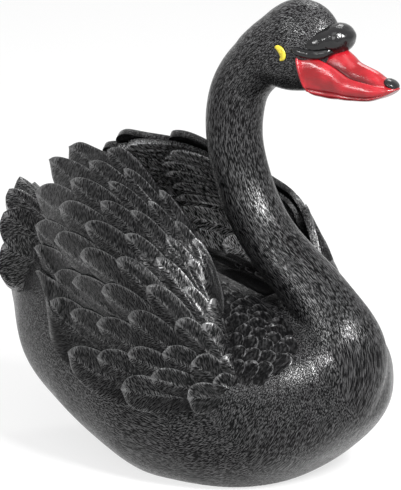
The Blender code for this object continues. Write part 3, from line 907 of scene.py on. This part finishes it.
def both_faces(flow, depth):
    """Flow of a sheet's top and bottom; the bottom is unworn and deeper in the grain."""
    top = flow.reshape(-1, 4)
    return np.concatenate([top, top * (1.0, 1.0, 1.0, 0.0) + (0.0, 0.0, depth, 0.0)])


def slab(top, bottom, reach, aside, wear_and_painted_light=0.0):
    """Plain sheet under the feathers of a wing or tail, with its place in the grain."""
    points, faces = sheet(top, bottom)
    flow = joined(reach, aside, 0.0 * reach, 0.0 * reach + wear_and_painted_light)
    return points, faces, both_faces(flow, SLAB_UNDERSIDE)


def tip_share(s):
    """How far a place along a feather lies in its rounded tip, 0 to 1."""
    return np.clip((s - TIP_START) / (1.0 - TIP_START), 0.0, 1.0)


def feather_grid(point, root, tip, middle, width, form):
    """Shares along and across one feather, and its places u and v on the surface."""
    q, t = grid_places((0.0, 1.0, form["rows"]), (-1.0, 1.0, form["columns"]))
    s = 1.0 - (1.0 - q) ** TIP_CROWDING
    t = round_power(t, SHAFT_CROWDING)
    widen = ROOT_WIDTH + (1.0 - ROOT_WIDTH) * np.minimum(2.0 * s, 1.0)
    half = 0.5 * width * widen * np.sqrt(1.0 - 0.995 * tip_share(s) ** TIP_ROUNDNESS)
    u = root + s * (tip - root)
    v = middle + form["drift"] * s ** 2 + t * half
    u, v = square_off(point, u, v)
    return s, t, u, v


def feather_rise(s, t, lift, form):
    """Height of a feather's upper face over the surface it lies on."""
    rise = lift * (0.05 + 0.95 * s ** 1.3) * (1.0 - SIDE_DROP * t ** 2 + form["lap"] * t)
    rise += form["shaft"] * np.exp(-(t / SHAFT_HALF) ** 2) * (1.0 - smooth_step(0.75, 1.0, s))
    edge = np.maximum(np.abs(t), smooth_step(0.0, 1.0, tip_share(s)) * 0.9)
    return rise + form["rim"] * smooth_step(0.62, 0.86, edge)


def feather_flow(surface, s, t, mark, form):
    """Distance along and beside the shaft, the feather's own mark, and how light its paint is: lighter rims
    and shaft, with painted shade toward the root that the feather above overlaps.
    """
    centre = surface[:, surface.shape[1] // 2]
    reach = np.broadcast_to(path_lengths(centre)[:, None], t.shape)
    aside = np.linalg.norm(surface - centre[:, None], axis=-1) * np.sign(t)
    rim = np.maximum(smooth_step(0.78, 0.98, np.abs(t)), smooth_step(0.70, 0.98, tip_share(s)))
    # Painted shade: the paint darkens toward the root, where the feather above overlaps it; rims and shaft
    # are lighter.
    wear_and_painted_light = smooth_step(0.25, 0.75, s) * (form["vane_light"] + (form["edge"] - form["vane_light"]) * rim)
    wear_and_painted_light += form["quill"] * np.exp(-(t / WORN_HALF) ** 2) * s
    return joined(reach, aside, np.full(t.shape, mark), wear_and_painted_light)


def feather(point, normal, place, lift, mark, sink=FEATHER_SINK, **form):
    """One feather laid on a surface: shell and its place in the grain.

    point and normal describe the surface, place is the feather's root, tip,
    middle and width on it, and form is what differs from the plain feather.
    """
    form = {**PLAIN_FEATHER, **form}
    s, t, u, v = feather_grid(point, *place, form)
    surface = point(u, v)
    out = normal(u, v)
    top = surface + out * feather_rise(s, t, lift, form)[..., None]
    points, faces = sheet(top, surface - out * sink)
    flow = feather_flow(surface, s, t, mark, form)
    return points, faces, both_faces(flow, FEATHER_UNDERSIDE)


def staggered(number, count):
    """Middles of a row's feathers; every second row is shifted by half a feather."""
    return [(i + 0.25 + 0.5 * (number % 2)) / count for i in range(count)]


def laid_rows(point, normal, rows, seed, form):
    """Feathers laid in rows; each row is its root, tip, middles, width and lift."""
    carving = Carving()
    draw = np.random.default_rng(seed)
    for root, tip, middles, width, lift in rows:
        for middle in middles:
            place = (root, tip, middle, width)
            carving.add(*feather(point, normal, place, lift, draw.random(), **form))
    return carving


# Wings

def wing_height(share):
    """Height for a share of the body up to one and of the wing's rise above it."""
    return np.where(share < 1.0, share * BODY_HEIGHT, BODY_HEIGHT + (share - 1.0) * WING_RISE)


def wing_controls():
    net = np.asarray(WING_NET, float)
    x = breast_x() - WING_SETBACK - (1.0 - net[..., 0]) * WING_LENGTH
    y = -net[..., 1] * BODY_WIDTH / 2.0
    z = wing_height(net[..., 2])
    return joined(x, y, z)


def wing_point(u, v):
    """Point of the wing's outer face; u runs shoulder to tip, v low to high."""
    controls = wing_controls()
    along = spline_weights(u.ravel(), controls.shape[1])
    up = spline_weights(v.ravel(), controls.shape[0])
    return np.einsum("na,nb,bac->nc", along, up, controls).reshape(u.shape + (3,))


def wing_normal(u, v):
    return surface_normal(wing_point, u, v)


def wing_thickness(u, v):
    """Thickness that falls toward tip and top edge, with a heavier foot."""
    thin = np.clip(u * WING_THINNING[0] + v * WING_THINNING[1], 0.0, 1.0)
    foot = WING_FOOT_THICKNESS * np.clip(1.0 - WING_FOOT_FADE * v, 0.0, 1.0) ** 2
    return WING_ROOT_THICKNESS + (WING_TIP_THICKNESS - WING_ROOT_THICKNESS) * thin + foot


def wing_inner_point(u, v):
    """Point of the wing's inner face."""
    depth = wing_thickness(u, v)
    return wing_point(u, v) - wing_normal(u, v) * depth[..., None]


def wing_inner_normal(u, v):
    return -wing_normal(u, v)


def wing_slab():
    u, v = grid_places((0.0, SLAB_REACH, 60), (0.0, SLAB_RISE, 48))
    return slab(wing_point(u, v), wing_inner_point(u, v), u * WING_LENGTH, v * BODY_HEIGHT)


def wing_carving():
    carving = carved(wing_slab())
    draw = np.random.default_rng(7)
    reach, lift, turn = WING_JITTER
    for number, (root, tip, count, share) in enumerate(WING_ROWS):
        for i in range(count):
            middle = (i + 0.5 + 0.5 * (number % 2)) / (count + 0.5)
            jitter = draw.uniform(-1.0, 1.0, 4)
            place = (root, tip + reach * jitter[0], middle, WING_FEATHER_WIDTH / count)
            high = FEATHER_LIFT * share * (1.0 + lift * jitter[1])
            drift = WING_FAN * (middle - WING_FAN_LEVEL) + turn * jitter[2]
            mark = draw.random()
            carving.add(*feather(wing_point, wing_normal, place, high, mark, drift=drift, **WING_FORM))
    return carving


def lining_carving():
    """Feathers on the wing's inner face, from a little above its foot."""
    rows = []
    for number, (root, tip, count) in enumerate(WING_INNER_ROWS):
        shares = (np.arange(count) + 0.6 - 0.25 * (number % 2)) / count
        middles = LINING_FOOT + (1.0 - LINING_FOOT) * shares
        rows.append((root, tip, middles, LINING_FEATHER_WIDTH / count, FEATHER_LIFT))
    return laid_rows(wing_inner_point, wing_inner_normal, rows, 17, LINING_FORM)


# Shoulder scales and back feathers

def scale_point(u, v):
    """Point of the shoulder; u runs from the breast up and back, v from wing to neck."""
    low = spline(SCALE_WING_SIDE, u.ravel())
    high = spline(SCALE_NECK_SIDE, u.ravel())
    mix = low + (high - low) * v.reshape(-1, 1)
    point = body_point(mix[:, 0], math.pi - np.radians(mix[:, 1]))
    return point.reshape(u.shape + (3,))


def scale_normal(u, v):
    return surface_normal(scale_point, u, v, step=0.01)


def scale_carving():
    """Rows of scales from the breast up; the first ones lie flatter."""
    rows = []
    for number in range(SCALE_ROWS):
        tip = (number + 1.4) / (SCALE_ROWS + 0.4)
        root = tip - SCALE_REACH / SCALE_ROWS
        count = round(SCALE_COLUMNS - 1.2 * number / SCALE_ROWS)
        lift = SCALE_LIFT * min(1.0, 0.3 + 0.35 * number)
        rows.append((root, tip, staggered(number, count), SCALE_WIDTH / count, lift))
    return laid_rows(scale_point, scale_normal, rows, 11, SCALE_FORM)


def back_point(u, v):
    """Point of the back between the wings; u runs back, v from right to left."""
    turn = 0.5 * math.pi + (0.5 - v) * BACK_TURN
    point = body_point((BACK_START - BACK_SPAN * u).ravel(), turn.ravel())
    return point.reshape(u.shape + (3,))


def back_normal(u, v):
    return surface_normal(back_point, u, v, step=0.01)


def back_carving():
    rows = []
    for number in range(BACK_ROWS):
        tip = (number + 1.2) / BACK_ROWS
        root = tip - BACK_REACH / BACK_ROWS
        width = BACK_FEATHER_WIDTH / BACK_FEATHERS
        rows.append((root, tip, staggered(number, BACK_FEATHERS), width, FEATHER_LIFT))
    return laid_rows(back_point, back_normal, rows, 13, BACK_FORM)


# Tail

def tail_point(u, v):
    """Point of the tail's upper face; u runs root to tip, v across from -1 to 1."""
    spread = np.abs(v) ** TAIL_CURVE
    reach = u * TAIL_LENGTH * (1.0 - TAIL_SWEEP * spread)
    fan = TAIL_ROOT + (1.0 - TAIL_ROOT) * u
    back = body_x(0.0) + TAIL_OVERLAP - reach * math.cos(TAIL_SLOPE)
    out = fan * v * TAIL_WIDTH / 2.0
    height = TAIL_RISE + reach * math.sin(TAIL_SLOPE) - TAIL_ARCH * spread * fan
    return joined(back, out, height)


def tail_normal(u, v):
    return surface_normal(tail_point, u, v)


def tail_slab():
    u, v = grid_places((0.0, SLAB_REACH, 40), (-1.0, 1.0, 50))
    top = tail_point(u, v)
    bottom = top - tail_normal(u, v) * TAIL_THICKNESS
    return slab(top, bottom, u * TAIL_LENGTH, v * TAIL_WIDTH / 2.0, TAIL_WEAR)


def tail_carving():
    carving = carved(tail_slab())
    draw = np.random.default_rng(17)
    pitch = 2.0 / TAIL_FEATHERS
    sink = TAIL_FEATHER_SINK * TAIL_THICKNESS
    for i in range(TAIL_FEATHERS):
        middle = -1.0 + pitch * (i + 0.5)
        lift = FEATHER_LIFT * (1.1 - 0.5 * abs(middle))
        place = (*TAIL_FEATHER_SPAN, middle, TAIL_FEATHER_WIDTH * pitch)
        carving.add(*feather(tail_point, tail_normal, place, lift, draw.random(), sink, **TAIL_FORM))
    return carving


# Skin of hull, neck and head, with the course of its strokes

def grain_line():
    """Course of the strokes: over the head, down the neck, under the hull."""
    front, chin = head_front()
    forehead = np.array([(front, chin + FOREHEAD_RISE * HEAD_DEPTH)])
    neck = neck_line(np.linspace(1.0, 0.20, 120))[0]
    corners = np.concatenate([forehead, neck, np.asarray(GRAIN_TAIL)])
    steps = path_lengths(corners)
    reach = np.linspace(0.0, steps[-1], 500)
    line = joined(*[np.interp(reach, steps, corners[:, k]) for k in (0, 1)])
    for _ in range(30):
        line[1:-1] = 0.25 * line[:-2] + 0.5 * line[1:-1] + 0.25 * line[2:]
    return line


def grain_flow(points):
    """Distance along the strokes' course, beside it and across the body, and the wear with a painted
    highlight on the head.
    """
    line = grain_line()
    along = unit(np.gradient(line, axis=0))
    reach = path_lengths(line)
    flow = np.full((len(points), 4), SKIN_WEAR)
    for first in range(0, len(points), GRAIN_BATCH):
        part = points[first:first + GRAIN_BATCH]
        offset = part[:, None, [0, 2]] - line[None]
        near = np.argmin((offset ** 2).sum(axis=-1), axis=1)
        rows = np.arange(len(part))
        here = offset[rows, near]
        ahead = (here * along[near]).sum(axis=-1)
        side = here[:, 0] * along[near, 1] - here[:, 1] * along[near, 0]
        flow[first:first + GRAIN_BATCH, :3] = joined(reach[near] + ahead, side, part[:, 1])
    # Painted highlight: the head's strokes are painted lighter and glossier.
    flow[:, 3] += HEAD_HIGHLIGHT * smooth_step(*FINE_STROKES, points[:, 2])
    return flow


def skin_object():
    """Hull, neck, crop and head as one skin that ends flat on the floor."""
    item = carved(body_shell(), neck_shell(), crop_shell(), head_shell()).to_object("swan_body")
    fuse(item, SKIN_STEP, SKIN_PASSES)
    points = mesh_points(item.data)
    points[:, 2] = np.maximum(points[:, 2], 0.0)
    item.data.vertices.foreach_set("co", points.astype(np.float32).ravel())
    item.data.update()
    for name in ("flow", "wear_and_painted_light"):
        if name in item.data.attributes:
            item.data.attributes.remove(item.data.attributes[name])
    write_flow(item.data, grain_flow(points))
    return item


# Materials

class Nodes:
    """A node tree and short ways to add to it."""

    def __init__(self, tree):
        self.tree = tree

    def put(self, socket, value):
        if isinstance(value, bpy.types.NodeSocket):
            self.tree.links.new(value, socket)
        else:
            socket.default_value = value

    def node(self, kind, **inputs):
        item = self.tree.nodes.new("ShaderNode" + kind)
        for socket, value in inputs.items():
            self.put(item.inputs[socket], value)
        return item

    def result(self, kind, inputs, output=0, **settings):
        """Output of a new node with these settings and numbered inputs."""
        item = self.node(kind)
        for name, value in settings.items():
            setattr(item, name, value)
        for number, value in inputs.items():
            self.put(item.inputs[number], value)
        return item.outputs[output]

    def maths(self, operation, first, second=0.0):
        return self.result("Math", {0: first, 1: second}, operation=operation)

    def span(self, value, low, high, start=0.0, end=1.0):
        """Value mapped from low..high to start..end, held at both ends."""
        return self.result("MapRange", dict(enumerate((value, low, high, start, end))))

    def plain_or_seen(self, plain, seen):
        """The plain value for diffuse light, the seen one for camera, gloss and glass rays."""
        path = self.node("LightPath").outputs
        total = self.maths("MAXIMUM", path["Is Camera Ray"], path["Is Glossy Ray"])
        total = self.maths("MAXIMUM", total, path["Is Transmission Ray"])
        return self.span(total, 0.0, 1.0, plain, seen)


class Paint(Nodes):
    """A material with one principled shader, and what its finish is made of."""

    def __init__(self, name, **sockets):
        self.material = bpy.data.materials.new(name)
        self.material.use_nodes = True
        super().__init__(self.material.node_tree)
        self.shader = self.tree.nodes["Principled BSDF"]
        self.finish(**sockets)

    def attribute(self, name, output):
        return self.result("Attribute", {}, output, attribute_name=name)

    def split(self, vector):
        return self.node("SeparateXYZ", Vector=vector).outputs

    def place(self):
        return self.node("TexCoord").outputs["Object"]

    def noise(self, vector, scale=1.0, detail=2.0):
        return self.node("TexNoise", Vector=vector, Scale=scale, Detail=detail).outputs["Fac"]

    def grain(self, vector, scales, detail=1.0):
        """Noise stretched differently along each axis."""
        stretched = self.result("VectorMath", {0: vector, 1: scales}, operation="MULTIPLY")
        return self.noise(stretched, 1.0, detail)

    def blend(self, share, first, second):
        """Mix of two colours."""
        return self.result("Mix", {0: share, 6: first, 7: second}, 2, data_type="RGBA")

    def between(self, share, first, second):
        """Mix of two values."""
        return self.result("Mix", {0: share, 2: first, 3: second})

    def bump(self, height, distance, normal=None):
        item = self.node("Bump", Height=height, Distance=distance, Strength=1.0)
        if normal is not None:
            self.put(item.inputs["Normal"], normal)
        return item.outputs[0]

    def finish(self, **sockets):
        for socket, value in sockets.items():
            self.put(self.shader.inputs[socket.replace("_", " ")], value)
        return self.material


def engraved(paint, strokes, clumps, depths, crest_colour, gloss):
    """Finish of black paint over engraved strokes.

    strokes and clumps are noises and depths their reliefs. Grooves get painted shade,
    near black and less reflective; crests are lighter the more they are worn, and a
    wear over one also draws a plain light line. gloss is the lowest and highest roughness.
    """
    wear_and_painted_light = paint.attribute("wear_and_painted_light", "Fac")
    height = paint.span(strokes, 0.34, 0.66)
    normal = paint.bump(height, depths[0], paint.bump(clumps, depths[1]))
    crest = paint.span(height, 0.38, 1.0, 0.02, 1.0)
    patch = paint.span(clumps, 0.35, 0.65, 0.75, 1.0)
    rubbed = paint.maths("MULTIPLY", crest, patch)
    rubbed = paint.maths("MULTIPLY", rubbed, paint.span(wear_and_painted_light, 0.0, 2.0, 0.08, 1.0))
    ridge = paint.maths("MAXIMUM", rubbed, paint.span(wear_and_painted_light, 1.1, 2.0, 0.0, 0.55))
    # Painted shade: grooves between the strokes get near-black colour and a lower specular level; worn
    # crests are lighter.
    colour = paint.blend(ridge, SHADED_GROOVE_BLACK, crest_colour)
    shine = paint.span(ridge, 0.0, 0.5, 0.06, 0.95)
    rough = paint.span(paint.noise(paint.place(), 35.0, 3.0), 0.3, 0.7, *gloss)
    return paint.finish(Base_Color=colour, Roughness=rough, Normal=normal, Specular_IOR_Level=shine)


def hair_paint():
    """Semi-gloss black with short engraved strokes along the flow."""
    paint = Paint("black_hair")
    flow = paint.attribute("flow", "Vector")
    coarse = paint.grain(flow, (220.0, 1650.0, 1650.0))
    fine = paint.grain(flow, (420.0, 2100.0, 2100.0))
    height = paint.split(paint.place())["Z"]
    strokes = paint.between(paint.span(height, *FINE_STROKES), coarse, fine)
    clumps = paint.grain(flow, (120.0, 330.0, 330.0), 2.0)
    return engraved(paint, strokes, clumps, STROKE_DEPTHS, HAIR_GREY, (0.19, 0.30))


def feather_paint(name, crest_colour):
    """Semi-gloss black with barbs that slant outward from each feather's shaft."""
    paint = Paint(name)
    flow = paint.split(paint.attribute("flow", "Vector"))
    slant = paint.maths("SUBTRACT", flow["X"], paint.maths("ABSOLUTE", flow["Y"]))
    apart = paint.maths("MULTIPLY", paint.maths("GREATER_THAN", flow["Y"]), SIDE_SHIFT)
    mark = paint.maths("ADD", paint.maths("MULTIPLY", flow["Z"], FEATHER_SHIFT), apart)
    across = paint.maths("MULTIPLY", flow["Y"], BARB_STRETCH)
    place = paint.node("CombineXYZ", X=slant, Y=across, Z=mark).outputs[0]
    strokes = paint.grain(place, (1400.0, 1400.0, 1400.0))
    clumps = paint.grain(place, (300.0, 500.0, 300.0), 2.0)
    return engraved(paint, strokes, clumps, STROKE_DEPTHS, crest_colour, (0.14, 0.24))


def scale_paint():
    """Smoother black of the shoulder scales, its crests painted darker as painted shade in the shoulder's
    hollow.
    """
    paint = Paint("shaded_scale_black")
    strokes = paint.grain(paint.attribute("flow", "Vector"), (300.0, 600.0, 60.0), 2.0)
    clumps = paint.noise(paint.place(), 150.0)
    return engraved(paint, strokes, clumps, SCALE_DEPTHS, SHADED_SCALE_GREY, (0.24, 0.36))


def gloss_black():
    """Smooth glossy black of knob, nail, eyes and the roll over the bill."""
    paint = Paint("black_gloss", Specular_IOR_Level=0.42)
    place = paint.place()
    dents = paint.noise(place, 110.0, 3.0)
    colour = paint.blend(dents, *GLOSS_BLACKS)
    rough = paint.span(paint.noise(place, 200.0), 0.3, 0.7, 0.10, 0.22)
    return paint.finish(Base_Color=colour, Roughness=rough, Normal=paint.bump(dents, 0.0011))


def red_paint():
    """Glossy brushed red of the bill, with painted shade in the grooves."""
    paint = Paint("red_bill", Specular_IOR_Level=0.50)
    place = paint.place()
    streak = paint.grain(place, (60.0, 420.0, 420.0), 2.0)
    patch = paint.noise(place, 70.0)
    bright = paint.blend(paint.span(patch, 0.35, 0.7), *REDS)
    # Painted shade: the red darkens where the groove lies deep.
    groove = paint.span(paint.attribute("wear_and_painted_light", "Fac"), 0.25, 1.0)
    colour = paint.blend(groove, bright, SHADED_GROOVE_RED)
    rough = paint.span(patch, 0.3, 0.7, 0.18, 0.30)
    return paint.finish(Base_Color=colour, Roughness=rough, Normal=paint.bump(streak, 0.00018))


def yellow_paint():
    """Brushed yellow of the eye."""
    paint = Paint("yellow_eye", IOR=1.5)
    patch = paint.noise(paint.place(), 420.0)
    colour = paint.blend(paint.span(patch, 0.3, 0.7), *YELLOWS)
    rough = paint.span(patch, 0.3, 0.7, 0.25, 0.40)
    return paint.finish(Base_Color=colour, Roughness=rough, Normal=paint.bump(patch, 0.0003))


# Stage

def make_world():
    """White to the camera and in reflections, dimmer as a light."""
    world = bpy.data.worlds.new("studio")
    bpy.context.scene.world = world
    world.use_nodes = True
    nodes = Nodes(world.node_tree)
    back = nodes.tree.nodes["Background"].inputs
    nodes.put(back["Color"], WHITE)
    nodes.put(back["Strength"], nodes.plain_or_seen(WORLD_LIGHT, 1.0))


def make_floor():
    """Pale floor that takes the shadow and glows into the white background."""
    signs = ((-1, -1), (1, -1), (1, 1), (-1, 1))
    corners = [(x * FLOOR_REACH, y * FLOOR_REACH, 0.0) for x, y in signs]
    mesh = bpy.data.meshes.new("floor")
    mesh.from_pydata(corners, [], [(0, 1, 2, 3)])
    mesh.update()
    item = link("floor", mesh)
    paint = Paint("pale_floor", Roughness=0.9, Specular_IOR_Level=0.0)
    glow = paint.plain_or_seen(0.0, FLOOR_GLOW)
    paint.finish(Base_Color=FLOOR_GREY, Emission_Color=WHITE, Emission_Strength=glow)
    mesh.materials.append(paint.material)


def look_from(item, azimuth, elevation, distance):
    """Put a lamp or camera this far from AIM, at these angles in degrees, facing it."""
    turn = math.radians(azimuth)
    rise = math.radians(elevation)
    out = math.cos(rise)
    back = np.array((math.sin(turn) * out, -math.cos(turn) * out, math.sin(rise)))
    item.location = AIM + back * distance
    item.rotation_euler = (0.5 * math.pi - rise, 0.0, turn)


def make_lamp(name, azimuth, elevation, distance, width, height, power):
    lamp = bpy.data.lights.new(name, "AREA")
    lamp.shape = "RECTANGLE"
    lamp.size = width
    lamp.size_y = height
    lamp.energy = power
    look_from(link(name, lamp), azimuth, elevation, distance)


def make_camera():
    data = bpy.data.cameras.new("camera")
    data.sensor_fit = "VERTICAL"
    data.sensor_height = SENSOR
    data.lens = SENSOR / VIEW_HEIGHT * CAMERA_DISTANCE
    data.clip_end = 100.0
    item = link("camera", data)
    look_from(item, AZIMUTH, ELEVATION, CAMERA_DISTANCE)
    bpy.context.scene.camera = item


# The pieces

def dress(item, material, angle=None):
    """Paint a piece, smooth it up to this angle and hang it on the part."""
    item.data.materials.clear()
    item.data.materials.append(material)
    item.data.shade_smooth()
    if angle is not None:
        item.data.set_sharp_from_angle(angle=math.radians(angle))
    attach(item, "root")
    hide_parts("swan")


def dress_pair(name, carving, material, angle=None):
    """The right piece and its mirror image on the left."""
    dress(carving.to_object("right_" + name), material, angle)
    dress(carving.to_object("left_" + name, -1), material, angle)


def knob_object():
    item = carved(*knob_shells()).to_object("knob")
    fuse(item, KNOB_STEP, KNOB_PASSES)
    return item


def make_plumage():
    plume = feather_paint("black_feather", FEATHER_GREY)
    # Pale grey feathers on the wing's inner face: painted light where it lies in shade.
    lit_lining_plume = feather_paint("lit_lining_feather", LIT_LINING_GREY)
    dress(skin_object(), hair_paint())
    dress_pair("wing", wing_carving(), plume, CREASE_ANGLE)
    dress_pair("wing_lining", lining_carving(), lit_lining_plume, CREASE_ANGLE)
    dress_pair("scales", scale_carving(), scale_paint(), CREASE_ANGLE)
    dress(back_carving().to_object("back_feathers"), plume, CREASE_ANGLE)
    dress(tail_carving().to_object("tail"), plume, CREASE_ANGLE)


def make_face():
    red = red_paint()
    gloss = gloss_black()
    dress(carved(bill_shell()).to_object("bill"), red, CREASE_ANGLE)
    dress_pair("gape", carved(gape_shell()), red, CREASE_ANGLE)
    dress(carved(nail_shell()).to_object("nail"), gloss)
    dress(carved(lore_shell()).to_object("lore"), gloss)
    dress(knob_object(), gloss)
    dress_pair("eye", carved(eye_shell()), gloss)
    dress_pair("iris", carved(iris_shell()), yellow_paint())


make_camera()
make_world()
make_floor()
for lamp in LAMPS:
    make_lamp(*lamp)
make_plumage()
make_face()

bpy.context.scene.view_settings.view_transform = "Standard"
